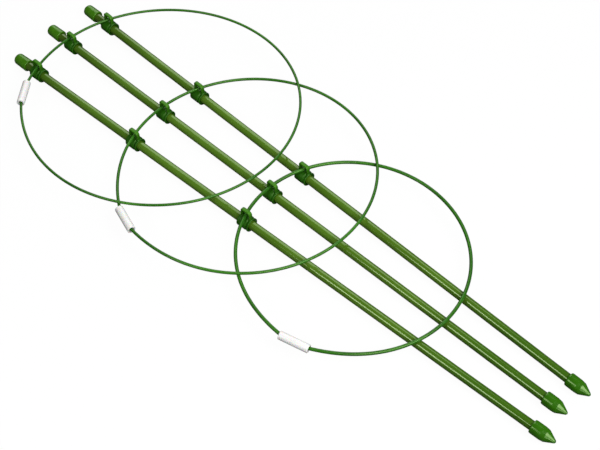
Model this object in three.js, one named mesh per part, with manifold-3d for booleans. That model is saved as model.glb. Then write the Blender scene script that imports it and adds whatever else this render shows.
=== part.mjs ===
// Ring trellis for climbing pot plants, folded flat as it is stored.
//
// Three coated steel stakes lie in a narrow fan, caps at one end and pointed tips at the other.
// Three coated wire rings lie back over them. A moulded clip holds each ring to each stake.
// Millimetres. X runs along the centre stake to its tip, Y to the right stake, Z up.

import * as THREE from 'three';
import * as BufferGeometryUtils from 'three/addons/utils/BufferGeometryUtils.js';
import Module from 'manifold-3d';

const wasm = await Module();
wasm.setup();

// Clearance between pieces that nest in or turn on each other.
const nestGap = 0.3;

// Stakes: a steel tube in a plastic coat, the same on all three.
const stakeLength = 601;
const coatRadius = 4;
const coatWall = 0.5;
const tubeWall = 0.6;
const stakeSides = 20;
const coreSides = 12;

// Where the side stakes start and end, counted from the cap end of the centre stake.
const leftTopBack = 8.5;
const leftTopAside = 46.5;
const leftTipAside = 25.7;
const rightTopBack = 3.4;
const rightTopAside = 42.1;
const rightTipAside = 25.2;

// Caps. Both kinds share the outer radius. Top caps narrow a little towards their closed end.
const capRadius = 5.75;
const capSides = 16;
const topCapLength = 16;
const topCapFloor = 3.4;
const topCapRounding = 2.6;
const topCapTaper = 0.45;
const topCapMouthEdge = 0.6;
const tipMouthRadius = 5.5;
const tipMouthTaper = 1.5;
const tipBodyLength = 12.6;
const tipShoulder = 4.2;
const tipShoulderDrop = 0.5;
const tipConeLength = 8.4;
const tipPointRadius = 1.4;
const tipSocketDepth = 11.5;
const arcSteps = 4;

// Ring wire: a steel wire in a plastic coat. Each ring has its own thickness.
const wireCoatWall = 0.3;
const wireNestGap = 0.25;
const wireSides = 8;
const wireCoreSides = 6;
const ringSteps = 64;
const wireEndGap = 0.5;

// The joining sleeve over the two ends of each ring. The ends push the ring out a little there,
// and the bulge fades over some degrees of the ring.
const sleeveLength = 26;
const sleeveRadius = 3.6;
const sleeveEdge = 0.4;
const sleeveSides = 12;
const kickFadeDegrees = 14;
const kickSoftDegrees = 7;

// Large ring.
const largeClipPlace = 30.1;
const largeRadius = 122.3;
const largeAside = 2.5;
const largeOval = 0.9;
const largeOvalDegrees = 20;
const largeKick = 2.8;
const largeSleeveDegrees = -141.2;
const largeWireRadius = 1.2;

// Medium ring.
const mediumClipPlace = 157;
const mediumRadius = 110;
const mediumAside = -0.8;
const mediumOval = 1.7;
const mediumOvalDegrees = 93;
const mediumKick = 4.5;
const mediumSleeveDegrees = -108;
const mediumWireRadius = 1.3;

// Small ring.
const smallClipPlace = 290.6;
const smallRadius = 96.3;
const smallAside = -2.7;
const smallOval = 0.5;
const smallOvalDegrees = -35;
const smallKick = 4.4;
const smallSleeveDegrees = -75.3;
const smallWireRadius = 1.5;

// The clip: a thick collar round the stake, and an upright eye for the ring wire.
// The collars are the widest rounds, so the flat trellis lies on them.
const collarWall = 2.1;
const collarLength = 12.5;
const collarSides = 20;
const collarEdge = 0.5;
const grooveDepth = 0.3;
const grooveWidth = 0.6;
const lipWidth = 1.8;
const wireHeight = 8.6;
const eyeSetback = 1.15;
const eyeWidth = 9.8;
const eyeDepth = 3.6;
const eyeTop = 14;
const eyeBand = 1.25;
const eyeBridge = 1.6;
// How far the eyes on the side stakes stand towards the tips from the middle of their play.
const sideEyeLead = 0.4;
const eyeEdge = 0.45;
const eyeBackRounding = 2.2;
const eyeFrontRounding = 3.3;
const eyeHoleRounding = 1.2;
const roundingSteps = 3;

// How far one ring's wire stays above the next one's where they cross.
const crossingGap = 0.5;
// How far the small ring's far side stays above the stakes.
const restGap = 0.3;

// Colours.
const stakeGreen = 0x55731f;
const capGreen = 0x2f7a1c;
const wireGreen = 0x3c7a3a;
const sleeveWhite = 0xe8e6dc;
const steelGrey = 0x8f9296;

// Derived sizes.
const collarBore = coatRadius + nestGap;
const collarRadius = collarBore + collarWall;
const socketRadius = coatRadius + nestGap;
const coatBore = coatRadius - coatWall;
const tubeRadius = coatBore - nestGap;
const tipCapLength = tipBodyLength + tipConeLength;
const stakeStart = topCapFloor + nestGap;
const stakeEnd = stakeLength - tipCapLength + tipSocketDepth - nestGap;
const radians = THREE.MathUtils.degToRad;

// Radius to the corners of a polygon with the given radius to its flats.
function cornerRadius(flatRadius, sides) {
  return flatRadius / Math.cos(Math.PI / sides);
}

function material(color, roughness, metalness) {
  return new THREE.MeshStandardMaterial({ color, roughness, metalness });
}

const finishes = {
  stake: material(stakeGreen, 0.35, 0),
  cap: material(capGreen, 0.4, 0),
  wire: material(wireGreen, 0.35, 0),
  sleeve: material(sleeveWhite, 0.45, 0),
  steel: material(steelGrey, 0.4, 1),
};

function piece(name, geometry, finish) {
  const mesh = new THREE.Mesh(geometry, finish.clone());
  mesh.name = name;
  return mesh;
}

// A closed outline [radius, place along the stake] turned round the X axis,
// with a flat facing straight down.
function turned(outline, sides) {
  const points = outline.map(([radius, along]) => new THREE.Vector2(radius, along));
  const geometry = new THREE.LatheGeometry(points, sides, Math.PI / sides, 2 * Math.PI);
  geometry.rotateZ(-Math.PI / 2);
  return geometry;
}

// Outline points of a part of a circle from one angle to another, ends included.
function arc(centre, radius, from, to, steps) {
  const points = [];
  for (let step = 0; step <= steps; step += 1) {
    const turn = from + ((to - from) * step) / steps;
    points.push([centre[0] + radius * Math.cos(turn), centre[1] + radius * Math.sin(turn)]);
  }
  return points;
}

function toSolid(geometry) {
  geometry.deleteAttribute('normal');
  geometry.deleteAttribute('uv');
  const merged = BufferGeometryUtils.mergeVertices(geometry);
  return new wasm.Manifold(new wasm.Mesh({
    numProp: 3,
    vertProperties: Float32Array.from(merged.attributes.position.array),
    triVerts: Uint32Array.from(merged.index.array),
  }));
}

function toGeometry(solid) {
  const mesh = solid.getMesh();
  const geometry = new THREE.BufferGeometry();
  geometry.setAttribute('position', new THREE.BufferAttribute(Float32Array.from(mesh.vertProperties), 3));
  geometry.setIndex(new THREE.BufferAttribute(Uint32Array.from(mesh.triVerts), 1));
  geometry.computeVertexNormals();
  return geometry;
}

// A tube with square ends, closed round its wall.
function tubeOutline(outer, bore, from, to) {
  return [[bore, from], [outer, from], [outer, to], [bore, to], [bore, from]];
}

function stakeCoat() {
  const outer = cornerRadius(coatRadius, stakeSides);
  const bore = cornerRadius(coatBore, stakeSides);
  return turned(tubeOutline(outer, bore, stakeStart, stakeEnd), stakeSides);
}

function stakeTube() {
  return turned(tubeOutline(tubeRadius, tubeRadius - tubeWall, stakeStart, stakeEnd), coreSides);
}

// Top cap: a blind cup with a well rounded closed end at zero.
function topCap() {
  const outer = cornerRadius(capRadius, capSides);
  const socket = cornerRadius(socketRadius, capSides);
  const rounding = [outer - topCapTaper - topCapRounding, topCapRounding];
  return turned([
    [0, 0],
    ...arc(rounding, topCapRounding, -Math.PI / 2, 0, arcSteps),
    [outer, topCapLength - topCapMouthEdge],
    [outer - topCapMouthEdge, topCapLength],
    [socket, topCapLength],
    [socket, topCapFloor],
    [0, topCapFloor],
  ], capSides);
}

// Tip cap: a slightly barrelled body with a blunt cone, its mouth at zero.
function tipCap() {
  const outer = cornerRadius(capRadius, capSides);
  const socket = cornerRadius(socketRadius, capSides);
  const pointCentre = [0, tipCapLength - tipPointRadius];
  return turned([
    [0, tipSocketDepth],
    [socket, tipSocketDepth],
    [socket, 0],
    [tipMouthRadius, 0],
    [outer, tipMouthTaper],
    [outer, tipBodyLength - tipShoulder],
    [outer - tipShoulderDrop, tipBodyLength],
    ...arc(pointCentre, tipPointRadius, Math.PI / 6, Math.PI / 2, arcSteps).slice(0, -1),
    [0, tipCapLength],
  ], capSides);
}

// A stake with its coat, tube and caps, lying along X from its cap end.
function stakePieces(name) {
  const group = new THREE.Group();
  const tip = piece(`${name}_tip_cap`, tipCap(), finishes.cap);
  tip.position.x = stakeLength - tipCapLength;
  group.add(piece(`${name}_coat`, stakeCoat(), finishes.stake));
  group.add(piece(`${name}_tube`, stakeTube(), finishes.steel));
  group.add(piece(`${name}_top_cap`, topCap(), finishes.cap));
  group.add(tip);
  return group;
}

// A stake's line on the plan: where its cap end is, and the way it points.
function stakeLine(back, topAside, tipAside) {
  return { top: new THREE.Vector2(back, topAside), turn: Math.asin((tipAside - topAside) / stakeLength) };
}

const stakes = [
  { name: 'centre', ...stakeLine(0, 0, 0) },
  { name: 'left', ...stakeLine(leftTopBack, -leftTopAside, -leftTipAside) },
  { name: 'right', ...stakeLine(rightTopBack, rightTopAside, rightTipAside) },
];

// Radius of a ring's wire at a turn round its centre: a slight oval with a bulge at the sleeve.
function radiusAt(ring, turn) {
  const aside = turn - ring.sleeveTurn;
  const fromSleeve = Math.atan2(Math.sin(aside), Math.cos(aside));
  const soft = radians(kickSoftDegrees);
  const fade = (Math.hypot(fromSleeve, soft) - soft) / radians(kickFadeDegrees);
  return ring.radius + ring.oval * Math.cos(2 * (turn - ring.ovalTurn)) + ring.kick * Math.exp(-fade);
}

// A point of the wire on the plan, counted from the ring's centre.
function wirePoint(ring, turn) {
  const radius = radiusAt(ring, turn);
  return new THREE.Vector2(radius * Math.cos(turn), radius * Math.sin(turn));
}

// The turn, near the ring's cap side, where its wire passes over a stake's line.
function turnOver(ring, centre, stake) {
  const across = new THREE.Vector2(-Math.sin(stake.turn), Math.cos(stake.turn));
  const offset = (turn) => wirePoint(ring, turn).add(centre).sub(stake.top).dot(across);
  let low = Math.PI / 2;
  let high = (3 * Math.PI) / 2;
  while (high - low > Number.EPSILON * Math.PI * 4) {
    const middle = (low + high) / 2;
    if (offset(middle) > 0) {
      low = middle;
    } else {
      high = middle;
    }
  }
  return low;
}

function ringPlan(name, wireRadius, clipPlace, radius, aside, oval, ovalDegrees, kick, sleeveDegrees) {
  const ring = { name, wireRadius, clipPlace, radius, oval, kick };
  ring.ovalTurn = radians(ovalDegrees);
  ring.sleeveTurn = radians(sleeveDegrees);
  ring.centre = new THREE.Vector2(0, aside);
  const near = wirePoint(ring, turnOver(ring, ring.centre, stakes[0]));
  ring.centre.x = clipPlace - near.x;
  return ring;
}

const large = ringPlan('large_ring', largeWireRadius, largeClipPlace, largeRadius, largeAside,
  largeOval, largeOvalDegrees, largeKick, largeSleeveDegrees);
const medium = ringPlan('medium_ring', mediumWireRadius, mediumClipPlace, mediumRadius, mediumAside,
  mediumOval, mediumOvalDegrees, mediumKick, mediumSleeveDegrees);
const small = ringPlan('small_ring', smallWireRadius, smallClipPlace, smallRadius, smallAside,
  smallOval, smallOvalDegrees, smallKick, smallSleeveDegrees);

// Height of a ring's wire above the stake axes at a place along X: each ring tilts about its clips.
function heightAt(ring, along) {
  return wireHeight + ring.slope * (along - ring.clipPlace);
}

// Where two rings cross, along X, taking them as circles.
function crossingPlace(upper, lower) {
  const apart = lower.centre.x - upper.centre.x;
  return upper.centre.x + (apart ** 2 + upper.radius ** 2 - lower.radius ** 2) / (2 * apart);
}

// A ring that passes over the next one where they cross.
function slopeOver(upper, lower) {
  const place = crossingPlace(upper, lower);
  const height = heightAt(lower, place) + upper.wireRadius + lower.wireRadius + crossingGap;
  return (height - wireHeight) / (place - upper.clipPlace);
}

// The small ring's far side lies on the stakes.
small.slope = (coatRadius + restGap + small.wireRadius - wireHeight) / (2 * small.radius);
medium.slope = slopeOver(medium, small);
large.slope = slopeOver(large, medium);

// The wire's path in the ring's own plane, from one end in the sleeve round to the other.
class RingPath extends THREE.Curve {
  constructor(ring) {
    super();
    this.ring = ring;
    this.halfGap = wireEndGap / 2 / ring.radius;
  }

  getPoint(t, target = new THREE.Vector3()) {
    const start = this.ring.sleeveTurn + this.halfGap;
    const turn = start + t * 2 * (Math.PI - this.halfGap);
    const point = wirePoint(this.ring, turn).add(this.ring.centre);
    return target.set(point.x - this.ring.clipPlace, point.y, 0);
  }
}

function polygon(radius, sides) {
  const corners = [];
  for (let side = 0; side < sides; side += 1) {
    const turn = ((side + 1 / 2) / sides) * 2 * Math.PI;
    corners.push(new THREE.Vector2(radius * Math.cos(turn), radius * Math.sin(turn)));
  }
  return corners;
}

function swept(shape, ring) {
  return new THREE.ExtrudeGeometry(shape, {
    steps: ringSteps,
    extrudePath: new RingPath(ring),
  });
}

function wireCoat(ring) {
  const shape = new THREE.Shape(polygon(ring.wireRadius, wireSides));
  shape.holes.push(new THREE.Path(polygon(ring.wireRadius - wireCoatWall, wireCoreSides)));
  return swept(shape, ring);
}

function wireCore(ring) {
  const radius = ring.wireRadius - wireCoatWall - wireNestGap;
  return swept(new THREE.Shape(polygon(radius, wireCoreSides)), ring);
}

// Joining sleeve: a straight tube whose bore clears the curve of the wire inside it.
function sleeve(ring) {
  const halfLength = sleeveLength / 2;
  const endTurn = Math.asin(halfLength / ring.radius);
  const middle = radiusAt(ring, ring.sleeveTurn);
  const ends = [ring.sleeveTurn - endTurn, ring.sleeveTurn + endTurn];
  const heights = ends.map((turn) => radiusAt(ring, turn) * Math.cos(endTurn));
  const lowest = Math.min(...heights);
  const bore = ring.wireRadius + (middle - lowest) / 2 + nestGap;
  const edge = sleeveRadius - sleeveEdge;
  const outline = [
    [bore, -halfLength],
    [edge, -halfLength],
    [sleeveRadius, sleeveEdge - halfLength],
    [sleeveRadius, halfLength - sleeveEdge],
    [edge, halfLength],
    [bore, halfLength],
    [bore, -halfLength],
  ];
  const points = outline.map(([radius, along]) => new THREE.Vector2(radius, along));
  const mesh = piece(`${ring.name}_sleeve`, new THREE.LatheGeometry(points, sleeveSides), finishes.sleeve);
  const reach = (middle + lowest) / 2;
  const place = new THREE.Vector2(reach, 0).rotateAround(new THREE.Vector2(), ring.sleeveTurn);
  mesh.position.set(place.x + ring.centre.x - ring.clipPlace, place.y + ring.centre.y, 0);
  mesh.rotation.z = ring.sleeveTurn;
  return mesh;
}

// The collar with its eased ends and the groove behind its lip, from its cap-side end at zero.
function collarOutline() {
  const outer = cornerRadius(collarRadius, collarSides);
  const core = collarBore / 2;
  const lipStart = collarLength - lipWidth;
  const grooveStart = lipStart - grooveWidth;
  return [
    [core, 0],
    [outer - collarEdge, 0],
    [outer, collarEdge],
    [outer, grooveStart],
    [outer - grooveDepth, grooveStart + grooveWidth / 2],
    [outer, lipStart],
    [outer, collarLength - collarEdge],
    [outer - collarEdge, collarLength],
    [core, collarLength],
    [core, 0],
  ];
}

// The eye seen from the side, as a closed band with rounded top corners.
function eyeShape() {
  const half = eyeWidth / 2;
  const foot = collarBore / 2;
  const holeHalf = half - eyeBand;
  const holeTop = eyeTop - eyeBridge;
  const back = [eyeBackRounding - half, eyeTop - eyeBackRounding];
  const front = [half - eyeFrontRounding, eyeTop - eyeFrontRounding];
  const toVector = ([x, y]) => new THREE.Vector2(x, y);
  const outer = [
    [-half, foot],
    [half, foot],
    ...arc(front, eyeFrontRounding, 0, Math.PI / 2, roundingSteps),
    ...arc(back, eyeBackRounding, Math.PI / 2, Math.PI, roundingSteps),
  ];
  const holeBack = [eyeHoleRounding - holeHalf, holeTop - eyeHoleRounding];
  const holeFront = [holeHalf - eyeHoleRounding, holeTop - eyeHoleRounding];
  const hole = [
    [-holeHalf, foot + eyeBand],
    [holeHalf, foot + eyeBand],
    ...arc(holeFront, eyeHoleRounding, 0, Math.PI / 2, roundingSteps),
    ...arc(holeBack, eyeHoleRounding, Math.PI / 2, Math.PI, roundingSteps),
  ];
  const shape = new THREE.Shape(outer.map(toVector));
  shape.holes.push(new THREE.Path(hole.map(toVector)));
  return shape;
}

// The whole clip, with the middle of its eye at zero along the stake.
function clipGeometry() {
  const eye = new THREE.ExtrudeGeometry(eyeShape(), {
    depth: eyeDepth - 2 * eyeEdge,
    steps: 1,
    bevelEnabled: true,
    bevelThickness: eyeEdge,
    bevelSize: eyeEdge,
    bevelOffset: -eyeEdge,
    bevelSegments: 1,
  });
  eye.translate(0, 0, eyeEdge - eyeDepth / 2);
  eye.rotateX(Math.PI / 2);
  const collar = turned(collarOutline(), collarSides);
  collar.translate(-eyeWidth / 2 - eyeSetback, 0, 0);
  const bore = turned([
    [0, -collarLength],
    [collarBore, -collarLength],
    [collarBore, 2 * collarLength],
    [0, 2 * collarLength],
  ], collarSides);
  return toGeometry(toSolid(collar).add(toSolid(eye)).subtract(toSolid(bore)));
}

const clipShape = clipGeometry();

// How far ahead of the wire over the centre stake the wire over another stake lies.
function leadOver(ring, stake) {
  return wirePoint(ring, turnOver(ring, ring.centre, stake)).x + ring.centre.x - ring.clipPlace;
}

// The centre clips hang back from their wire, which sits at the cap side of the hole. On the
// side stakes the eye is set so that the wire has the room it needs on both sides when the
// rings fold up, because each ring then draws back by its own lead.
function eyeOffset(ring, stake) {
  if (stake === stakes[0]) {
    return eyeWidth / 2 - eyeBand - ring.wireRadius - nestGap;
  }
  return (leadOver(medium, stake) - leadOver(ring, stake)) / 2 + sideEyeLead;
}

function clip(ring, stake) {
  const point = wirePoint(ring, turnOver(ring, ring.centre, stake)).add(ring.centre).sub(stake.top);
  const mesh = piece(`${ring.name}_${stake.name}_clip`, clipShape.clone(), finishes.cap);
  mesh.position.x = point.length() + eyeOffset(ring, stake);
  return mesh;
}

const trellis = new THREE.Group();

for (const stake of stakes) {
  const group = stakePieces(`${stake.name}_stake`);
  group.add(clip(large, stake), clip(medium, stake), clip(small, stake));
  group.position.set(stake.top.x, stake.top.y, 0);
  group.rotation.z = stake.turn;
  trellis.add(group);
}

for (const ring of [large, medium, small]) {
  const group = new THREE.Group();
  group.add(piece(`${ring.name}_coat`, wireCoat(ring), finishes.wire));
  group.add(piece(`${ring.name}_wire`, wireCore(ring), finishes.steel));
  group.add(sleeve(ring));
  group.position.set(ring.clipPlace, 0, wireHeight);
  group.rotation.y = -Math.atan(ring.slope);
  trellis.add(group);
}

// The origin is the middle of the trellis on the surface it lies on.
const bounds = new THREE.Box3().setFromObject(trellis, true);
const middle = bounds.getCenter(new THREE.Vector3());
trellis.position.set(-middle.x, -middle.y, -bounds.min.z);

export default trellis;
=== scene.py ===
# %% [markdown]
# # A folded ring trellis for pot plants
# Three plastic-coated steel stakes lie in a narrow fan with three coated wire rings over them,
# held by moulded clips. The construction comes from a fixed frame, and this lesson dresses it:
# it makes fine meshes for each kind of piece and gives each a finish, then sets up a plain
# studio. Everything is in metres, in the frame's own axes: X runs to the pointed tips, Z is up.

# %% Load the frame
import math

import bmesh
import bpy
import numpy as np
from mathutils import Matrix, Vector


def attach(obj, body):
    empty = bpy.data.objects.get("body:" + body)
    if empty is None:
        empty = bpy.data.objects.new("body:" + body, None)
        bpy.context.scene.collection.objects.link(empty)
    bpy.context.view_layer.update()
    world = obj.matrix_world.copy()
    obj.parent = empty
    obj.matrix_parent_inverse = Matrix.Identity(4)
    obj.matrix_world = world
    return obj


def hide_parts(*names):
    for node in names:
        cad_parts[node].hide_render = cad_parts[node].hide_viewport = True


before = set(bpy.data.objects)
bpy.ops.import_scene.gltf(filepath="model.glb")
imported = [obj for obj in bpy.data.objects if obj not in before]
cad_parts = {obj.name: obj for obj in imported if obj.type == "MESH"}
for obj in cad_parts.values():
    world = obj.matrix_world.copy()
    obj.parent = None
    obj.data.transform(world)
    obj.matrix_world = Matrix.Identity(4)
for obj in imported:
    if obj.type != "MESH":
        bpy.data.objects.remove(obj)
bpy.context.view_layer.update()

MM = 0.001

# %% [markdown]
# ## The camera
# A long lens flattens the fan of stakes, as a catalogue picture does. The camera stands over
# the tips to the left of the trellis and looks down at about fifty degrees. Its place and turn
# were worked out from the straight stakes and the ring ovals, so they are plain numbers here,
# in millimetres and degrees.

# %% Place the camera
CAMERA_PLACE = Vector((476.3, -504.3, 841.0)) * MM
CAMERA_HEADING = Vector((-0.6723, 0.7403, 0.0))
CAMERA_DOWN_DEGREES = 51.37
CAMERA_ROLL_DEGREES = 1.53
CAMERA_LENS_MM = 76.8
SENSOR_WIDTH_MM = 36.0


def camera_turn(heading, down, roll):
    """Turns a camera to look along a level heading, tipped down and rolled, in radians."""
    look = heading.normalized() * math.cos(down) - Vector((0, 0, math.sin(down)))
    right = look.cross(Vector((0, 0, 1))).normalized()
    up = right.cross(look)
    rolled_right = right * math.cos(roll) + up * math.sin(roll)
    rolled_up = up * math.cos(roll) - right * math.sin(roll)
    return Matrix((rolled_right, rolled_up, -look)).transposed().to_4x4()


camera_data = bpy.data.cameras.new("camera")
camera_data.lens = CAMERA_LENS_MM
camera_data.sensor_width = SENSOR_WIDTH_MM
camera = bpy.data.objects.new("camera", camera_data)
bpy.context.scene.collection.objects.link(camera)
turn = camera_turn(CAMERA_HEADING, math.radians(CAMERA_DOWN_DEGREES), math.radians(CAMERA_ROLL_DEGREES))
camera.matrix_world = Matrix.Translation(CAMERA_PLACE) @ turn
bpy.context.scene.camera = camera
print("camera at", [round(c, 3) for c in CAMERA_PLACE])

# %% [markdown]
# ## Colours and nodes
# Screen colours are written as hex, as a paint chart gives them, and one function turns them
# into the linear values that the shaders work in. A second small function adds a shader node
# with its settings and links and, for a colour ramp, its stops, so that each finish below
# stays short.

# %% Colour and node helpers
def colour(code):
    """A screen colour such as #55731F as linear red, green, blue and one."""
    parts = [int(code[i:i + 2], 16) / 255 for i in (1, 3, 5)]
    linear = [p / 12.92 if p <= 0.04045 else ((p + 0.055) / 1.055) ** 2.4 for p in parts]
    return (*linear, 1.0)


def add(tree, kind, inputs=None, stops=(), **settings):
    """Adds a node. Inputs map a socket to a value, or to another node's output. The stops of a
    colour ramp are pairs of a place and a hex colour."""
    node = tree.nodes.new(kind)
    for name, value in settings.items():
        setattr(node, name, value)
    for socket, value in (inputs or {}).items():
        if isinstance(value, bpy.types.NodeSocket):
            tree.links.new(value, node.inputs[socket])
        else:
            node.inputs[socket].default_value = value
    elements = node.color_ramp.elements if stops else ()
    while len(elements) < len(stops):
        elements.new(0.5)
    for element, (place, code) in zip(elements, stops):
        element.position = place
        element.color = colour(code)
    return node


def new_material(name):
    """An empty material with its node tree."""
    material = bpy.data.materials.new(name)
    material.use_nodes = True
    material.node_tree.nodes.clear()
    return material, material.node_tree


WHITE = "#FFFFFF"
print("white as linear:", colour(WHITE))

# %% [markdown]
# ## Patterns in real sizes
# Plastic that was drawn or moulded is streaked the way it flowed. So the first pattern is noise
# whose patches have a length and a width in millimetres. The second is painted shade: a slow
# change of colour along one axis of a piece, darker where less light falls on it. Both use the
# piece's own coordinates, so they stay on it when it moves.

# %% Streaks and slow changes
# Most of what a noise node gives lies between these two values.
NOISE_SPREAD = (0.3, 0.7)


def stretched_noise(tree, length_mm, width_mm, detail=2.0):
    """Noise with patches of a given length along X and width across."""
    place = add(tree, "ShaderNodeTexCoord")
    scale = (1 / (length_mm * MM), 1 / (width_mm * MM), 1 / (width_mm * MM))
    mapping = add(tree, "ShaderNodeMapping", {"Vector": place.outputs["Object"], "Scale": scale})
    return add(tree, "ShaderNodeTexNoise", {
        "Vector": mapping.outputs["Vector"], "Scale": 1.0, "Detail": detail})


def painted_shade_along(tree, tint, axis, length_mm, stops):
    """Paints shade: multiplies a colour by a ramp that runs along one axis of the piece."""
    place = add(tree, "ShaderNodeTexCoord")
    along = add(tree, "ShaderNodeSeparateXYZ", {"Vector": place.outputs["Object"]})
    share = add(tree, "ShaderNodeMapRange", {"Value": along.outputs[axis], "From Max": length_mm * MM})
    shade = add(tree, "ShaderNodeValToRGB", {"Fac": share.outputs["Result"]}, stops=stops)
    colours = {"Fac": 1.0, "Color1": tint.outputs["Color"], "Color2": shade.outputs["Color"]}
    return add(tree, "ShaderNodeMixRGB", colours, blend_type="MULTIPLY")


print("noise is spread over", NOISE_SPREAD)

# %% [markdown]
# ## The coat on the stakes
# The stakes are steel tube with a coat of soft polyethylene, drawn on hot. Drawing leaves faint
# lines along the tube and a slow drift of colour, so both patterns are stretched along X, the
# way the tube ran. Real draw lines are finer than this picture can show, and are drawn 2.2 mm
# wide here. The plastic is glossy, with the usual index of refraction of about 1.5, and its
# glints are a pale yellow-green, which a tinted specular gives. A ramp along the stake paints
# shade on the coat: darker at the cap end, where the stake lies between cap and clip, and darker
# towards the tips, where less light falls.

# %% Stake coat: drawn polyethylene
COAT_TONES = ((0.3, "#4C7218"), (0.5, "#557D20"), (0.72, "#5E8728"))
COAT_SHINE = "#E6FFC4"
COAT_GLOSS = 1.0
COAT_ROUGHNESS = (0.09, 0.15)
COAT_IOR = 1.5
# Painted shade along the stake, from the cap end at 0 to the tip at 1, darker at both ends.
COAT_PAINTED_SHADE = (
    (0.0, "#BEB9A4"), (0.06, "#DADED2"), (0.3, "#FFFFFF"), (0.74, "#FAFAFA"), (0.86, "#BCD0AA"))
STAKE_LENGTH_MM = 600.0
DRIFT_LENGTH_MM = 60.0
DRIFT_WIDTH_MM = 14.0
DRAW_LINE_LENGTH_MM = 160.0
DRAW_LINE_WIDTH_MM = 2.2
DRAW_LINE_DEPTH_MM = 0.1
DRAW_LINE_STRENGTH = 0.08


def drawn_polyethylene():
    """Glossy coat with lines along it, and painted shade at the cap end and towards the tips."""
    material, tree = new_material("drawn_polyethylene")
    drift = stretched_noise(tree, DRIFT_LENGTH_MM, DRIFT_WIDTH_MM)
    tint = add(tree, "ShaderNodeValToRGB", {"Fac": drift.outputs["Fac"]}, stops=COAT_TONES)
    # Painted shade: the coat is darker at the cap end and towards the tips.
    painted_shade_tint = painted_shade_along(tree, tint, "X", STAKE_LENGTH_MM, COAT_PAINTED_SHADE)
    lines = stretched_noise(tree, DRAW_LINE_LENGTH_MM, DRAW_LINE_WIDTH_MM, detail=1.0)
    rough = add(tree, "ShaderNodeMapRange", {
        "Value": lines.outputs["Fac"], "From Min": NOISE_SPREAD[0], "From Max": NOISE_SPREAD[1],
        "To Min": COAT_ROUGHNESS[0], "To Max": COAT_ROUGHNESS[1]})
    bump = add(tree, "ShaderNodeBump", {
        "Height": lines.outputs["Fac"], "Strength": DRAW_LINE_STRENGTH,
        "Distance": DRAW_LINE_DEPTH_MM * MM})
    shader = add(tree, "ShaderNodeBsdfPrincipled", {
        "Base Color": painted_shade_tint.outputs["Color"], "Roughness": rough.outputs["Result"],
        "Normal": bump.outputs["Normal"], "IOR": COAT_IOR, "Specular IOR Level": COAT_GLOSS,
        "Specular Tint": colour(COAT_SHINE)})
    add(tree, "ShaderNodeOutputMaterial", {"Surface": shader.outputs["BSDF"]})
    return material


stake_finish = drawn_polyethylene()
print("finish:", stake_finish.name)

# %% [markdown]
# ## Moulded caps and clips
# Caps and clips are injection moulded in a stiffer polyethylene of a fuller green. A mould
# leaves a fine even grain and a gloss that varies where the plastic flowed. Real grain is about
# 0.1 mm and wouldn't show, so it is drawn 0.6 mm wide. The clips are a duller and deeper tone of
# the same plastic. Two ramps paint shade: the tip caps are darker than the top caps, where less
# light falls, and the clips' collars are painted darker than their eyes, which take the light
# from above.

# %% Caps and clips: moulded polyethylene
MOULD_SHINE = "#DDFFB4"
MOULD_IOR = 1.5
CAP_TONES = ((0.3, "#386D0C"), (0.52, "#407B0F"), (0.75, "#4A8818"))
# Painted shade: the tip caps are darker and a fuller green than the top caps.
CAP_PAINTED_SHADE = ("X", STAKE_LENGTH_MM, ((0.3, "#FFFFFF"), (0.9, "#C2E0A0")))
CAP_GLOSS = 0.85
CAP_ROUGHNESS = (0.19, 0.29)
CLIP_TONES = ((0.3, "#2C6808"), (0.52, "#36760C"), (0.75, "#428514"))
# Painted shade: the clip's collar is darker than its eye, which is painted as lit from above.
CLIP_PAINTED_SHADE_HEIGHT_MM = 14.0
CLIP_PAINTED_SHADE = ("Z", CLIP_PAINTED_SHADE_HEIGHT_MM, ((0.42, "#AECBBA"), (0.64, "#FFFFFF")))
CLIP_GLOSS = 0.5
CLIP_ROUGHNESS = (0.34, 0.46)
FLOW_LENGTH_MM = 9.0
FLOW_WIDTH_MM = 5.4
GRAIN_MM = 0.6
GRAIN_DEPTH_MM = 0.05
GRAIN_STRENGTH = 0.04


def moulded_polyethylene(name, tones, shade, gloss, roughness):
    """Grained plastic whose colour and gloss vary where it flowed, with painted shade along one axis.
    """
    material, tree = new_material(name)
    flow = stretched_noise(tree, FLOW_LENGTH_MM, FLOW_WIDTH_MM, detail=3.0)
    tint = add(tree, "ShaderNodeValToRGB", {"Fac": flow.outputs["Fac"]}, stops=tones)
    # Painted shade: the ramp along one axis darkens part of the piece.
    painted_shade_tint = painted_shade_along(tree, tint, *shade)
    grain = stretched_noise(tree, GRAIN_MM, GRAIN_MM)
    rough = add(tree, "ShaderNodeMapRange", {
        "Value": flow.outputs["Fac"], "From Min": NOISE_SPREAD[0], "From Max": NOISE_SPREAD[1],
        "To Min": roughness[0], "To Max": roughness[1]})
    bump = add(tree, "ShaderNodeBump", {
        "Height": grain.outputs["Fac"], "Strength": GRAIN_STRENGTH, "Distance": GRAIN_DEPTH_MM * MM})
    shader = add(tree, "ShaderNodeBsdfPrincipled", {
        "Base Color": painted_shade_tint.outputs["Color"], "Roughness": rough.outputs["Result"],
        "Normal": bump.outputs["Normal"], "IOR": MOULD_IOR, "Specular IOR Level": gloss,
        "Specular Tint": colour(MOULD_SHINE)})
    add(tree, "ShaderNodeOutputMaterial", {"Surface": shader.outputs["BSDF"]})
    return material


cap_finish = moulded_polyethylene(
    "moulded_polyethylene_cap", CAP_TONES, CAP_PAINTED_SHADE, CAP_GLOSS, CAP_ROUGHNESS)
clip_finish = moulded_polyethylene(
    "moulded_polyethylene_clip", CLIP_TONES, CLIP_PAINTED_SHADE, CLIP_GLOSS, CLIP_ROUGHNESS)
print("finishes:", cap_finish.name, clip_finish.name)

# %% [markdown]
# ## The coat on the ring wires
# The rings are steel wire dipped in a thin coat of soft PVC. Its green is cooler than the
# stakes' and it is quite smooth, with slow ripples where the coat ran and set. The ripples are
# a bump and a change of roughness, since they are far too shallow to model.

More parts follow.
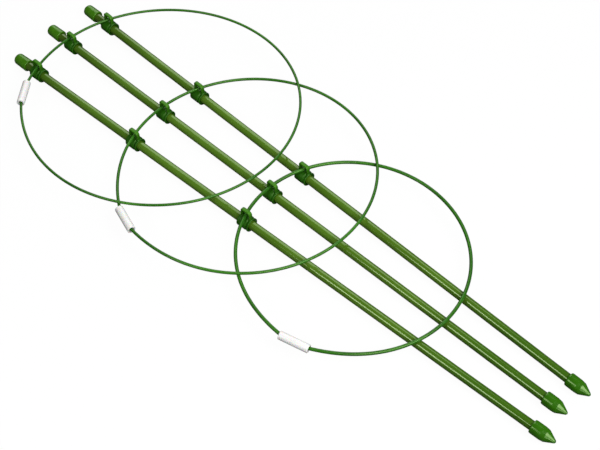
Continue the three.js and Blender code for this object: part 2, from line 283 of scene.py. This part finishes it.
# %% Wire coat: dipped PVC
WIRE_TONES = ((0.3, "#256115"), (0.5, "#2E6D17"), (0.7, "#3A7D20"))
WIRE_ROUGHNESS = (0.22, 0.34)
WIRE_IOR = 1.53
WIRE_DRIFT_MM = 35.0
RIPPLE_MM = 4.0
RIPPLE_DEPTH_MM = 0.15
RIPPLE_STRENGTH = 0.3


def dipped_pvc():
    """Smooth coat with slow ripples and a slow drift of its green."""
    material, tree = new_material("dipped_pvc")
    ripple = stretched_noise(tree, RIPPLE_MM, RIPPLE_MM)
    drift = stretched_noise(tree, WIRE_DRIFT_MM, WIRE_DRIFT_MM)
    tint = add(tree, "ShaderNodeValToRGB", {"Fac": drift.outputs["Fac"]}, stops=WIRE_TONES)
    rough = add(tree, "ShaderNodeMapRange", {
        "Value": ripple.outputs["Fac"], "From Min": NOISE_SPREAD[0], "From Max": NOISE_SPREAD[1],
        "To Min": WIRE_ROUGHNESS[0], "To Max": WIRE_ROUGHNESS[1]})
    bump = add(tree, "ShaderNodeBump", {
        "Height": ripple.outputs["Fac"], "Strength": RIPPLE_STRENGTH, "Distance": RIPPLE_DEPTH_MM * MM})
    shader = add(tree, "ShaderNodeBsdfPrincipled", {
        "Base Color": tint.outputs["Color"], "Roughness": rough.outputs["Result"],
        "Normal": bump.outputs["Normal"], "IOR": WIRE_IOR, "Specular Tint": colour(MOULD_SHINE)})
    add(tree, "ShaderNodeOutputMaterial", {"Surface": shader.outputs["BSDF"]})
    return material


wire_finish = dipped_pvc()
print("finish:", wire_finish.name)

# %% [markdown]
# ## Milky sleeves
# The sleeves that join the wire ends are milky polyethylene tube. A little light enters it and
# spreads, which softens its shadows. Real transparency would show the wires inside more than
# the milky wall does, so it takes some subsurface scattering instead.

# %% Sleeves: milky polyethylene
SLEEVE_TONES = ((0.35, "#F8F6F2"), (0.65, "#FEFEFC"))
SLEEVE_ROUGHNESS = 0.32
SLEEVE_IOR = 1.5
SLEEVE_SCATTER = 0.15
SLEEVE_SCATTER_MM = 1.0
CLOUD_LENGTH_MM = 12.0
CLOUD_WIDTH_MM = 5.0
CLOUD_DEPTH_MM = 0.1
CLOUD_STRENGTH = 0.2


def milky_polyethylene():
    """Nearly white tube with faint clouds, a little light spreading inside it."""
    material, tree = new_material("milky_polyethylene")
    cloud = stretched_noise(tree, CLOUD_LENGTH_MM, CLOUD_WIDTH_MM)
    tint = add(tree, "ShaderNodeValToRGB", {"Fac": cloud.outputs["Fac"]}, stops=SLEEVE_TONES)
    bump = add(tree, "ShaderNodeBump", {
        "Height": cloud.outputs["Fac"], "Strength": CLOUD_STRENGTH, "Distance": CLOUD_DEPTH_MM * MM})
    shader = add(tree, "ShaderNodeBsdfPrincipled", {
        "Base Color": tint.outputs["Color"], "Roughness": SLEEVE_ROUGHNESS,
        "Normal": bump.outputs["Normal"], "IOR": SLEEVE_IOR,
        "Subsurface Weight": SLEEVE_SCATTER, "Subsurface Scale": SLEEVE_SCATTER_MM * MM})
    add(tree, "ShaderNodeOutputMaterial", {"Surface": shader.outputs["BSDF"]})
    return material


sleeve_finish = milky_polyethylene()
print("finish:", sleeve_finish.name)

# %% [markdown]
# ## Bare steel
# The steel inside the coats only shows if a piece is cut open, but it gets a real finish too.
# Tube and wire are pulled through a die, which leaves fine lines along them. They change the
# roughness and the grey a little, and the rest is a plain metal.

# %% Tubes and cores: drawn steel
STEEL_TONES = ((0.35, "#7E8286"), (0.65, "#A3A7AA"))
STEEL_ROUGHNESS = (0.25, 0.4)
DIE_LINE_LENGTH_MM = 40.0
DIE_LINE_WIDTH_MM = 0.4


def drawn_steel():
    """Grey steel with fine lines along it."""
    material, tree = new_material("drawn_steel")
    lines = stretched_noise(tree, DIE_LINE_LENGTH_MM, DIE_LINE_WIDTH_MM, detail=3.0)
    tint = add(tree, "ShaderNodeValToRGB", {"Fac": lines.outputs["Fac"]}, stops=STEEL_TONES)
    rough = add(tree, "ShaderNodeMapRange", {
        "Value": lines.outputs["Fac"], "From Min": NOISE_SPREAD[0], "From Max": NOISE_SPREAD[1],
        "To Min": STEEL_ROUGHNESS[0], "To Max": STEEL_ROUGHNESS[1]})
    shader = add(tree, "ShaderNodeBsdfPrincipled", {
        "Base Color": tint.outputs["Color"], "Roughness": rough.outputs["Result"], "Metallic": 1.0})
    add(tree, "ShaderNodeOutputMaterial", {"Surface": shader.outputs["BSDF"]})
    return material


steel_finish = drawn_steel()
print("finish:", steel_finish.name)

# %% [markdown]
# ## Studio: the white sweep
# A catalogue picture shows its object on white. The white comes from what the camera ray meets,
# and not from more light: the floor mixes a plain white glow with its own soft shadow. Light
# that bounces off the floor meets a dark grey instead, and reflections see very little of the
# white, because the undersides of the glossy stakes are dark in such a picture.

# %% Floor
FLOOR_SIZE = 16.0
FLOOR_TONES = ((0.3, "#3E3E3C"), (0.7, "#464644"))
PAPER_PATCH = 0.4
FLOOR_WHITE_SHARE = 0.95
REFLECTED_WHITE_SHARE = 0.02


def white_sweep():
    """Paper that the camera sees as white with a soft shadow."""
    material, tree = new_material("white_sweep")
    path = add(tree, "ShaderNodeLightPath")
    paper = add(tree, "ShaderNodeTexNoise", {"Scale": FLOOR_SIZE / PAPER_PATCH, "Detail": 3.0})
    tint = add(tree, "ShaderNodeValToRGB", {"Fac": paper.outputs["Fac"]}, stops=FLOOR_TONES)
    pale = add(tree, "ShaderNodeMixRGB", {
        "Fac": path.outputs["Is Camera Ray"], "Color1": tint.outputs["Color"], "Color2": colour(WHITE)})
    diffuse = add(tree, "ShaderNodeBsdfDiffuse", {"Color": pale.outputs["Color"]})
    glow = add(tree, "ShaderNodeEmission", {"Color": colour(WHITE), "Strength": 1.0})
    seen = add(tree, "ShaderNodeMath", {
        0: path.outputs["Is Camera Ray"], 1: FLOOR_WHITE_SHARE}, operation="MULTIPLY")
    mirrored = add(tree, "ShaderNodeMath", {
        0: path.outputs["Is Glossy Ray"], 1: REFLECTED_WHITE_SHARE}, operation="MULTIPLY")
    through = add(tree, "ShaderNodeMath", {
        0: path.outputs["Is Transmission Ray"], 1: FLOOR_WHITE_SHARE}, operation="MULTIPLY")
    direct = add(tree, "ShaderNodeMath", {
        0: seen.outputs["Value"], 1: mirrored.outputs["Value"]}, operation="MAXIMUM")
    share = add(tree, "ShaderNodeMath", {
        0: direct.outputs["Value"], 1: through.outputs["Value"]}, operation="MAXIMUM")
    both = add(tree, "ShaderNodeMixShader", {
        "Fac": share.outputs["Value"], 1: diffuse.outputs["BSDF"], 2: glow.outputs["Emission"]})
    add(tree, "ShaderNodeOutputMaterial", {"Surface": both.outputs["Shader"]})
    return material


half = FLOOR_SIZE / 2
corners = [(-half, -half, 0), (half, -half, 0), (half, half, 0), (-half, half, 0)]
floor_mesh = bpy.data.meshes.new("floor")
floor_mesh.from_pydata(corners, [], [(0, 1, 2, 3)])
floor_mesh.materials.append(white_sweep())
floor = bpy.data.objects.new("floor", floor_mesh)
bpy.context.scene.collection.objects.link(floor)
print("floor", FLOOR_SIZE, "m")

# %% [markdown]
# ## Studio: the sky
# Past the floor's edge the camera sees the world. A bright sky would be white too, but it would
# flatten the tubes, so the world is white to the camera and only faint as a light.

# %% Sky
SKY_LEVEL = 0.05

world = bpy.data.worlds.new("sky")
world.use_nodes = True
world.node_tree.nodes.clear()
sky = world.node_tree
sky_path = add(sky, "ShaderNodeLightPath")
sky_level = add(sky, "ShaderNodeMapRange", {
    "Value": sky_path.outputs["Is Camera Ray"], "To Min": SKY_LEVEL, "To Max": 1.0})
sky_light = add(sky, "ShaderNodeBackground", {
    "Color": colour(WHITE), "Strength": sky_level.outputs["Result"]})
add(sky, "ShaderNodeOutputWorld", {"Surface": sky_light.outputs["Background"]})
bpy.context.scene.world = world
bpy.context.scene.view_settings.view_transform = "Standard"
print("sky level", SKY_LEVEL)

# %% [markdown]
# ## Studio: four softboxes
# A glossy tube mirrors each light as one line along it, so the lights are placed by what they
# should draw. The wide one beyond the tips gives the broad light on top. The one behind fills
# the far sides. A small one to the left draws the crisp line near the tips, and the smallest,
# low beyond the tips, puts a glint on each cone.

# %% Softboxes
# Name, place, the point it faces, width and height, all in millimetres, and its watts.
SOFTBOXES = (
    ("softbox_overhead", (1100, -60, 1350), (0, 0, 0), (1500, 1100), 29.5),
    ("softbox_behind", (-860, 900, 920), (0, 0, 0), (1200, 1500), 9.5),
    ("softbox_left", (-130, -900, 720), (100, 0, 0), (430, 380), 2.8),
    ("softbox_tips", (1000, -660, 330), (295, 0, 0), (130, 300), 0.8))


def softbox(name, place_mm, aim_mm, size_mm, watts):
    """A rectangular area light that faces a point."""
    data = bpy.data.lights.new(name, "AREA")
    data.shape = "RECTANGLE"
    data.size = size_mm[0] * MM
    data.size_y = size_mm[1] * MM
    data.energy = watts
    light = bpy.data.objects.new(name, data)
    bpy.context.scene.collection.objects.link(light)
    place = Vector(place_mm) * MM
    aim = Vector(aim_mm) * MM - place
    light.matrix_world = Matrix.Translation(place) @ aim.to_track_quat("-Z", "Y").to_matrix().to_4x4()


for row in SOFTBOXES:
    softbox(*row)
    print(row[0], row[-1], "W")

# %% [markdown]
# ## Where the stakes lie
# The three stakes are not parallel. Their angles could be typed in, but then the pieces would
# miss the construction if a stake moved. So each line is read from the frame, as the long
# direction of the coat's points. A small local frame, X along the stake and Z up, then serves
# its caps, its coat and its clips, and textures that run along X follow each stake.

# %% Stake lines
def points_of(node):
    """The frame's points of a node as an array, in metres."""
    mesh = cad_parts[node].data
    flat = np.zeros(len(mesh.vertices) * 3)
    mesh.vertices.foreach_get("co", flat)
    return flat.reshape(-1, 3)


def stake_frame(stake):
    """A matrix with X along the stake from its cap end, on its axis, and Z up."""
    points = points_of(f"{stake}_stake_coat")
    middle = (points.min(axis=0) + points.max(axis=0)) / 2
    along = np.linalg.svd(points - points.mean(axis=0), full_matrices=False)[2][0]
    along = Vector(along * np.sign(along[0])).normalized()
    along.z = 0
    along.normalize()
    cap = points_of(f"{stake}_stake_top_cap")
    start = min((Vector(p) - Vector(middle)).dot(along) for p in cap)
    origin = Vector(middle) + along * start
    across = Vector((0, 0, 1)).cross(along)
    turn = Matrix((along, across, Vector((0, 0, 1)))).transposed().to_4x4()
    return Matrix.Translation(origin) @ turn


def span(node, matrix):
    """Where a node starts and ends along X of a local frame, in metres."""
    back = matrix.inverted()
    places = [(back @ Vector(p)).x for p in points_of(node)]
    return min(places), max(places)


STAKES = ("left", "centre", "right")
RINGS = ("large", "medium", "small")
stake_frames = {stake: stake_frame(stake) for stake in STAKES}
for stake, matrix in stake_frames.items():
    print(stake, "stake starts at", [round(c / MM, 1) for c in matrix.translation], "mm")

# %% [markdown]
# ## Rounded corners
# Light catches a real edge, and a perfectly sharp one looks false. A bevel modifier could round
# them all alike, but the real pieces have a different radius at each corner. So the outlines
# below are given with a radius for each corner, and this function puts a short arc there.

# %% Rounding an outline
# The most of a side that one corner's arc may take, so that two arcs never meet.
ARC_SHARE = 0.49


def rounded(points, radii, steps=5):
    """Replaces corners of an outline by arcs. A radius of zero keeps the corner."""
    result = []
    for i, (point, radius) in enumerate(zip(points, radii)):
        if radius == 0 or i in (0, len(points) - 1):
            result.append(point)
            continue
        here = Vector(point)
        before = Vector(points[i - 1]) - here
        after = Vector(points[i + 1]) - here
        half_turn = before.angle(after) / 2
        shorter = min(before.length * ARC_SHARE, after.length * ARC_SHARE)
        reach = min(radius / math.tan(half_turn), shorter)
        radius = reach * math.tan(half_turn)
        start = here + before.normalized() * reach
        end = here + after.normalized() * reach
        inward = (before.normalized() + after.normalized()).normalized()
        centre = here + inward * (radius / math.sin(half_turn))
        for step in range(steps + 1):
            place = start.lerp(end, step / steps) - centre
            result.append(tuple(centre + place.normalized() * radius))
    return result


print("a rounded corner has", len(rounded([(0, 0), (1, 0), (1, 1)], [0, 0.2, 0])) - 2, "points")

# %% [markdown]
# ## Turned pieces
# Coats, caps, sleeves and the clips' collars are round. They could be joined from cylinders,
# but one function that turns an outline round the X axis gives each its true section. It makes
# the rings of points and the faces between them, and closes the ends where the outline reaches
# the axis.

# %% Turning an outline
WELD_MM = 0.002
SHARP_DEGREES = 40


def finish_mesh(bm, name):
    """Turns a bmesh into an object with outward faces and smooth shading."""
    bmesh.ops.remove_doubles(bm, verts=bm.verts, dist=WELD_MM * MM)
    bmesh.ops.recalc_face_normals(bm, faces=bm.faces)
    mesh = bpy.data.meshes.new(name)
    bm.to_mesh(mesh)
    bm.free()
    mesh.shade_smooth()
    mesh.set_sharp_from_angle(angle=math.radians(SHARP_DEGREES))
    piece = bpy.data.objects.new(name, mesh)
    bpy.context.scene.collection.objects.link(piece)
    return piece


def turn_outline(name, outline_mm, sides, closed=False):
    """Turns an outline of radius and place, in millimetres, round the X axis."""
    bm = bmesh.new()
    rings = []
    for radius, place in outline_mm:
        if radius == 0:
            rings.append([bm.verts.new((place * MM, 0, 0))])
            continue
        ring = []
        for side in range(sides):
            angle = 2 * math.pi * side / sides
            across = radius * MM * math.cos(angle)
            up = radius * MM * math.sin(angle)
            ring.append(bm.verts.new((place * MM, across, up)))
        rings.append(ring)
    pairs = list(zip(rings, rings[1:]))
    if closed:
        pairs.append((rings[-1], rings[0]))
    for first, second in pairs:
        for side in range(sides):
            after = (side + 1) % sides
            if len(first) == 1:
                bm.faces.new((first[0], second[side], second[after]))
            elif len(second) == 1:
                bm.faces.new((first[side], second[0], first[after]))
            else:
                bm.faces.new((first[side], second[side], second[after], first[after]))
    return finish_mesh(bm, name)


print("points are welded within", WELD_MM, "mm")

# %% [markdown]
# ## Pieces and their bodies
# A fine piece stands in for one plain solid of the frame, and moves with one of its bodies. The
# same few calls say so for every piece, and set its finish.

# %% Dressing a piece
def dress(piece, node, body, finish):
    """Gives a piece its finish, and lets it ride on a body in place of a frame node."""
    piece.data.materials.clear()
    piece.data.materials.append(finish)
    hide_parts(node)
    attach(piece, body)


# %% [markdown]
# ## Stakes: the coats
# The coat is a long tube. A plain cylinder would mirror the lights in lines that are too
# straight, so it is cut into short lengths along it, and each length carries a very slight
# waviness, as coated tube has.

# %% Coats
COAT_RADIUS_MM = 4.0
COAT_BORE_MM = 3.5
COAT_EDGE_MM = 0.2
COAT_LENGTHS = 60
COAT_SIDES = 48
COAT_WAVE_MM = 0.03
# Two slow waves along the coat, in radians for each millimetre.
COAT_WAVES = (0.11, 0.037)


def coat_outline(length_mm):
    """The outside and the bore of a coat, with eased ends and a faint wave along it."""
    outer = []
    for i in range(COAT_LENGTHS + 1):
        place = COAT_EDGE_MM + (length_mm - 2 * COAT_EDGE_MM) * i / COAT_LENGTHS
        wave = COAT_WAVE_MM * math.sin(place * COAT_WAVES[0]) * math.sin(place * COAT_WAVES[1])
        outer.append((COAT_RADIUS_MM + wave, place))
    bore = [(COAT_BORE_MM, length_mm), (COAT_BORE_MM, 0)]
    first = (COAT_RADIUS_MM - COAT_EDGE_MM, 0)
    last = (COAT_RADIUS_MM - COAT_EDGE_MM, length_mm)
    return [first, *outer, last, *bore]


for stake in STAKES:
    matrix = stake_frames[stake]
    start, end = span(f"{stake}_stake_coat", matrix)
    coat = turn_outline(f"{stake}_coat", coat_outline((end - start) / MM), COAT_SIDES, closed=True)
    coat.matrix_world = matrix @ Matrix.Translation((start, 0, 0))
    dress(coat, f"{stake}_stake_coat", f"{stake}_stake", stake_finish)
    print(coat.name, round((end - start) / MM, 1), "mm long")

# %% [markdown]
# ## Stakes: the caps
# The top cap is a short cup with a well rounded end that narrows a little towards it. The tip
# cap has a slightly barrelled body and a blunt cone. Both are turned. The tip cap is made at its
# place along the stake, in the stake's own frame, so that the ramp of its finish knows how far
# along it lies.

# %% Outlines of the caps
CAP_RADIUS_MM = 5.75
CAP_SIDES = 64
SOCKET_RADIUS_MM = 4.15
TOP_CAP_LENGTH_MM = 16.0
TOP_CAP_FLOOR_MM = 3.4
TOP_CAP_TAPER_MM = 0.45
TIP_MOUTH_RADIUS_MM = 5.5
TIP_BODY_START_MM = 1.5
TIP_BODY_END_MM = 9.0
TIP_SOCKET_MM = 11.5
CONE_START_MM = (5.3, 12.6)
CONE_END_MM = (1.3, 20.3)
TIP_LENGTH_MM = 21.0

# Each outline has the radius and the place of its corners, and its rounding a radius for each.
top_cap_outline = [
    (0, 0), (CAP_RADIUS_MM - TOP_CAP_TAPER_MM, 0), (CAP_RADIUS_MM, TOP_CAP_LENGTH_MM),
    (SOCKET_RADIUS_MM, TOP_CAP_LENGTH_MM), (SOCKET_RADIUS_MM, TOP_CAP_FLOOR_MM),
    (0, TOP_CAP_FLOOR_MM)]
top_cap_rounding = [0, 2.6, 0.7, 0.3, 0.3, 0]
tip_cap_outline = [
    (0, TIP_SOCKET_MM), (SOCKET_RADIUS_MM, TIP_SOCKET_MM), (SOCKET_RADIUS_MM, 0),
    (TIP_MOUTH_RADIUS_MM, 0), (CAP_RADIUS_MM, TIP_BODY_START_MM), (CAP_RADIUS_MM, TIP_BODY_END_MM),
    CONE_START_MM, CONE_END_MM, (0, TIP_LENGTH_MM)]
tip_cap_rounding = [0, 0.3, 0.3, 0.5, 2.5, 3.0, 1.8, 0.9, 0]
print("outlines with", len(top_cap_outline), "and", len(tip_cap_outline), "corners")

# %% Six caps
def moved_along(outline, start_mm):
    """The same outline, moved along the axis."""
    return [(radius, place + start_mm) for radius, place in outline]


for stake in STAKES:
    matrix = stake_frames[stake]
    body = f"{stake}_stake"
    top = turn_outline(f"{stake}_top", rounded(top_cap_outline, top_cap_rounding), CAP_SIDES)
    top.matrix_world = matrix
    dress(top, f"{stake}_stake_top_cap", body, cap_finish)
    tip_start = span(f"{stake}_stake_tip_cap", matrix)[0]
    tip_outline = moved_along(rounded(tip_cap_outline, tip_cap_rounding), tip_start / MM)
    tip = turn_outline(f"{stake}_tip", tip_outline, CAP_SIDES)
    tip.matrix_world = matrix
    dress(tip, f"{stake}_stake_tip_cap", body, cap_finish)
    print(stake, "caps at 0 and", round(tip_start / MM, 1), "mm")

# %% [markdown]
# ## Clips
# A clip is one moulding: a collar that slides on the stake, with a groove near its tip side and
# a recess in that end, and an upright eye for the wire. It is made as two bodies that are joined
# afterwards. The collar is round, so it is turned like the caps.

# %% The clip's collar
COLLAR_LENGTH_MM = 12.5
COLLAR_RADIUS_MM = 6.45
COLLAR_BORE_MM = 4.2
COLLAR_SIDES = 72
GROOVE_RADIUS_MM = 5.75
# Where the groove's two sloping sides start and end, along the collar.
GROOVE_FIRST_SIDE_MM = (9.2, 9.4)
GROOVE_SECOND_SIDE_MM = (10.8, 11.0)
RECESS_MM = 0.9
LIP_RADIUS_MM = 5.5
LIP_SLOPE_MM = 0.3

collar_outline = [
    (COLLAR_BORE_MM, 0), (COLLAR_RADIUS_MM, 0),
    (COLLAR_RADIUS_MM, GROOVE_FIRST_SIDE_MM[0]), (GROOVE_RADIUS_MM, GROOVE_FIRST_SIDE_MM[1]),
    (GROOVE_RADIUS_MM, GROOVE_SECOND_SIDE_MM[0]), (COLLAR_RADIUS_MM, GROOVE_SECOND_SIDE_MM[1]),
    (COLLAR_RADIUS_MM, COLLAR_LENGTH_MM), (LIP_RADIUS_MM, COLLAR_LENGTH_MM),
    (LIP_RADIUS_MM - LIP_SLOPE_MM, COLLAR_LENGTH_MM - RECESS_MM),
    (COLLAR_BORE_MM, COLLAR_LENGTH_MM - RECESS_MM)]
collar_rounding = [0, 0.5, 0.25, 0.15, 0.15, 0.25, 0.5, 0.2, 0.2, 0]
collar_section = rounded(collar_outline, collar_rounding, steps=3)
collar = turn_outline("collar", collar_section, COLLAR_SIDES, closed=True)
print("collar:", len(collar.data.polygons), "faces")

# %% [markdown]
# ## The clip's eye
# The eye is a flat band that goes up one side, over the top and down the other, tighter at the
# back than at the front. A curve with a bevel object could make it, but a section swept along a
# path of points gives a closed mesh at once, and the ring wires below need the same sweep.

# %% Sweeping a section
def sweep(name, path, section, across):
    """Sweeps a section along a flat path. Across is the direction square to the path's plane."""
    bm = bmesh.new()
    rings = []
    for i, point in enumerate(path):
        before = path[max(i - 1, 0)]
        after = path[min(i + 1, len(path) - 1)]
        side = (after - before).normalized().cross(across).normalized()
        rings.append([bm.verts.new(point + side * a + across * b) for a, b in section])
    count = len(section)
    for first, second in zip(rings, rings[1:]):
        for i in range(count):
            j = (i + 1) % count
            bm.faces.new((first[i], second[i], second[j], first[j]))
    bm.faces.new(rings[0])
    bm.faces.new(rings[-1])
    return finish_mesh(bm, name)


print("a sweep closes both of its ends")

# %% The arch
EYE_START_MM = 0.7
EYE_WIDTH_MM = 10.7
EYE_DEPTH_MM = 3.7
EYE_TOP_MM = 14.7
EYE_BAND_MM = 1.7
EYE_EDGE_MM = 0.75
BACK_ROUNDING_MM = 2.2
FRONT_ROUNDING_MM = 3.3
FOOT_MM = 5.4


def arch_path():
    """The middle line of the eye's band, up one leg, over the top and down the other."""
    inset = EYE_BAND_MM / 2
    left = EYE_START_MM + inset
    right = EYE_START_MM + EYE_WIDTH_MM - inset
    top = EYE_TOP_MM - inset
    corners = [(left, FOOT_MM), (left, top), (right, top), (right, FOOT_MM)]
    turns = [0, BACK_ROUNDING_MM - inset, FRONT_ROUNDING_MM - inset, 0]
    return [Vector((x, 0, z)) * MM for x, z in rounded(corners, turns, steps=8)]


def band_section(width_mm, depth_mm, edge_mm, steps=3):
    """A rounded rectangle: thickness along the arch's outward side, depth across."""
    points = []
    for corner in range(4):
        side_x = 1 if corner in (0, 3) else -1
        side_y = 1 if corner in (0, 1) else -1
        middle = ((width_mm / 2 - edge_mm) * side_x, (depth_mm / 2 - edge_mm) * side_y)
        for step in range(steps + 1):
            angle = math.radians(90 * corner + 90 * step / steps)
            out = (middle[0] + edge_mm * math.cos(angle)) * MM
            across = (middle[1] + edge_mm * math.sin(angle)) * MM
            points.append((out, across))
    return points


eye_section = band_section(EYE_BAND_MM, EYE_DEPTH_MM, EYE_EDGE_MM)
eye = sweep("eye", arch_path(), eye_section, Vector((0, 1, 0)))
print("eye:", len(eye.data.polygons), "faces")

# %% [markdown]
# ## Joining collar and eye
# A mould has no sharp inner corners, so the joint has small fillets. Bevelling the edges of a
# boolean is delicate. Here the joined body is remeshed into fine cubes of about a quarter of a
# millimetre and then smoothed, which melts every edge a little, as on the real moulding.

# %% Join them and melt the edges
CLIP_VOXEL_MM = 0.28
MELT_FACTOR = 0.5
MELT_STEPS = 5


def with_modifiers(piece):
    """Replaces a piece's mesh by what its modifiers make of it."""
    bpy.context.view_layer.update()
    evaluated = piece.evaluated_get(bpy.context.evaluated_depsgraph_get())
    made = bpy.data.meshes.new_from_object(evaluated)
    piece.modifiers.clear()
    piece.data = made


join = collar.modifiers.new("join", "BOOLEAN")
join.operation = "UNION"
join.solver = "EXACT"
join.object = eye
with_modifiers(collar)
remesh = collar.modifiers.new("remesh", "REMESH")
remesh.mode = "VOXEL"
remesh.voxel_size = CLIP_VOXEL_MM * MM
melt = collar.modifiers.new("melt", "SMOOTH")
melt.factor = MELT_FACTOR
melt.iterations = MELT_STEPS
with_modifiers(collar)
clip_mesh = collar.data
clip_mesh.name = "clip"
clip_mesh.shade_smooth()
for helper in (collar, eye):
    bpy.data.objects.remove(helper)
print("clip mesh:", len(clip_mesh.polygons), "faces")

# %% [markdown]
# ## Nine clips in place
# All nine clips are the same moulding, so they share one mesh, and nine objects place it. Each
# starts where the frame's own clip does.

# %% Nine clips
for ring in RINGS:
    for stake in STAKES:
        node = f"{ring}_ring_{stake}_clip"
        matrix = stake_frames[stake]
        place = span(node, matrix)[0]
        clip = bpy.data.objects.new(f"{ring}_{stake}_clip_moulding", clip_mesh)
        bpy.context.scene.collection.objects.link(clip)
        clip.matrix_world = matrix @ Matrix.Translation((place, 0, 0))
        dress(clip, node, f"{ring}_{stake}_clip", clip_finish)
print("clips:", len(RINGS) * len(STAKES))

# %% [markdown]
# ## Ring wires
# A ring is one length of coated wire bent round to meet itself inside its sleeve. It isn't a
# true circle: it is a little oval, and it bulges where the two ends push against the sleeve. A
# torus would miss that. The frame holds the path as a coarse chain, so its steel core's points
# are sorted by their turn round the ring and averaged step by step.

# %% Where each wire runs
# The frame's wire has steps of several degrees, and the points of one step lie closer than this.
STEP_GAP_DEGREES = 1.0


def ring_plane(points):
    """The middle and the upward normal of a ring's plane."""
    middle = points.mean(axis=0)
    normal = np.linalg.svd(points - middle, full_matrices=False)[2][2]
    return Vector(middle), Vector(normal * np.sign(normal[2])).normalized()


def wire_stations(ring):
    """The middle of each step of a wire, in order from end to end, and the plane's normal."""
    points = points_of(f"{ring}_ring_wire")
    middle, normal = ring_plane(points)
    sleeve_middle = Vector(points_of(f"{ring}_ring_sleeve").mean(axis=0))
    towards = sleeve_middle - middle
    towards = (towards - normal * towards.dot(normal)).normalized()
    square = normal.cross(towards)
    turns = []
    for point in points:
        arm = Vector(point) - middle
        turns.append((math.atan2(arm.dot(square), arm.dot(towards)) % (2 * math.pi), point))
    turns.sort(key=lambda item: item[0])
    groups = [[turns[0]]]
    for item in turns[1:]:
        if item[0] - groups[-1][-1][0] > math.radians(STEP_GAP_DEGREES):
            groups.append([])
        groups[-1].append(item)
    stations = [Vector(np.mean([point for _, point in group], axis=0)) for group in groups]
    return stations, normal


wire_lines = {ring: wire_stations(ring) for ring in RINGS}
for ring, (stations, normal) in wire_lines.items():
    print(ring, "ring:", len(stations), "stations")

# %% [markdown]
# ## A smooth wire
# Straight steps between the stations would show as corners in the glints. A spline that passes
# through every station keeps the frame's path, and a few cuts between each two are enough for
# wire this thin.

# %% Three wires
WIRE_RADIUS_MM = {"large": 1.2, "medium": 1.3, "small": 1.5}
WIRE_SIDES = 20
WIRE_CUTS = 6


def smooth_path(stations, cuts):
    """A smooth curve through the stations, with a number of cuts between each two."""
    first = stations[0] * 2 - stations[1]
    last = stations[-1] * 2 - stations[-2]
    chain = [first, *stations, last]
    path = []
    for a, b, c, d in zip(chain, chain[1:], chain[2:], chain[3:]):
        for cut in range(cuts):
            t = cut / cuts
            curve = 2 * b + (c - a) * t
            curve += (2 * a - 5 * b + 4 * c - d) * t * t
            curve += (3 * b - a - 3 * c + d) * t * t * t
            path.append(0.5 * curve)
    path.append(stations[-1].copy())
    return path


def circle(radius_mm, sides):
    """A round section as points."""
    turns = [2 * math.pi * i / sides for i in range(sides)]
    return [(radius_mm * MM * math.cos(turn), radius_mm * MM * math.sin(turn)) for turn in turns]


for ring, (stations, normal) in wire_lines.items():
    path = smooth_path(stations, WIRE_CUTS)
    wire = sweep(f"{ring}_wire", path, circle(WIRE_RADIUS_MM[ring], WIRE_SIDES), normal)
    dress(wire, f"{ring}_ring_coat", f"{ring}_ring", wire_finish)
    length = sum((b - a).length for a, b in zip(path, path[1:]))
    print(ring, "ring:", round(length / MM), "mm of wire")

# %% [markdown]
# ## Joining sleeves
# Each sleeve is a short straight piece of milky tube over the two wire ends. A cylinder with a
# hole would do, but its cut ends are a little eased, so it is turned too. Its line, its length
# and its bore come from the frame's own sleeve.

# %% Sleeves
SLEEVE_RADIUS_MM = 3.6
SLEEVE_SIDES = 48
SLEEVE_ROUNDING = [0, 0.5, 0.5, 0]


def long_axis(node):
    """The middle and the long direction of a node."""
    points = points_of(node)
    middle = (points.max(axis=0) + points.min(axis=0)) / 2
    along = np.linalg.svd(points - points.mean(axis=0), full_matrices=False)[2][0]
    return Vector(middle), Vector(along).normalized()


for ring in RINGS:
    node = f"{ring}_ring_sleeve"
    middle, along = long_axis(node)
    arms = [Vector(p) - middle for p in points_of(node)]
    half_mm = max(arm.dot(along) for arm in arms) / MM
    bore_mm = min(arm.cross(along).length for arm in arms) / MM
    outline = [
        (bore_mm, -half_mm), (SLEEVE_RADIUS_MM, -half_mm), (SLEEVE_RADIUS_MM, half_mm),
        (bore_mm, half_mm)]
    section = rounded(outline, SLEEVE_ROUNDING)
    sleeve = turn_outline(f"{ring}_sleeve", section, SLEEVE_SIDES, closed=True)
    turn = along.to_track_quat("X", "Z").to_matrix().to_4x4()
    sleeve.matrix_world = Matrix.Translation(middle) @ turn
    dress(sleeve, node, f"{ring}_ring", sleeve_finish)
    print(sleeve.name, round(2 * half_mm, 1), "mm long")

# %% [markdown]
# ## The steel inside
# The steel tubes and wires could be made finer as well, but only their ends could ever show. So
# they keep the frame's own meshes and just take the finish.

# %% Steel
for node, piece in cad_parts.items():
    if node.endswith(("_tube", "_wire")):
        piece.data.materials.clear()
        piece.data.materials.append(steel_finish)
        print(node, "is", steel_finish.name)
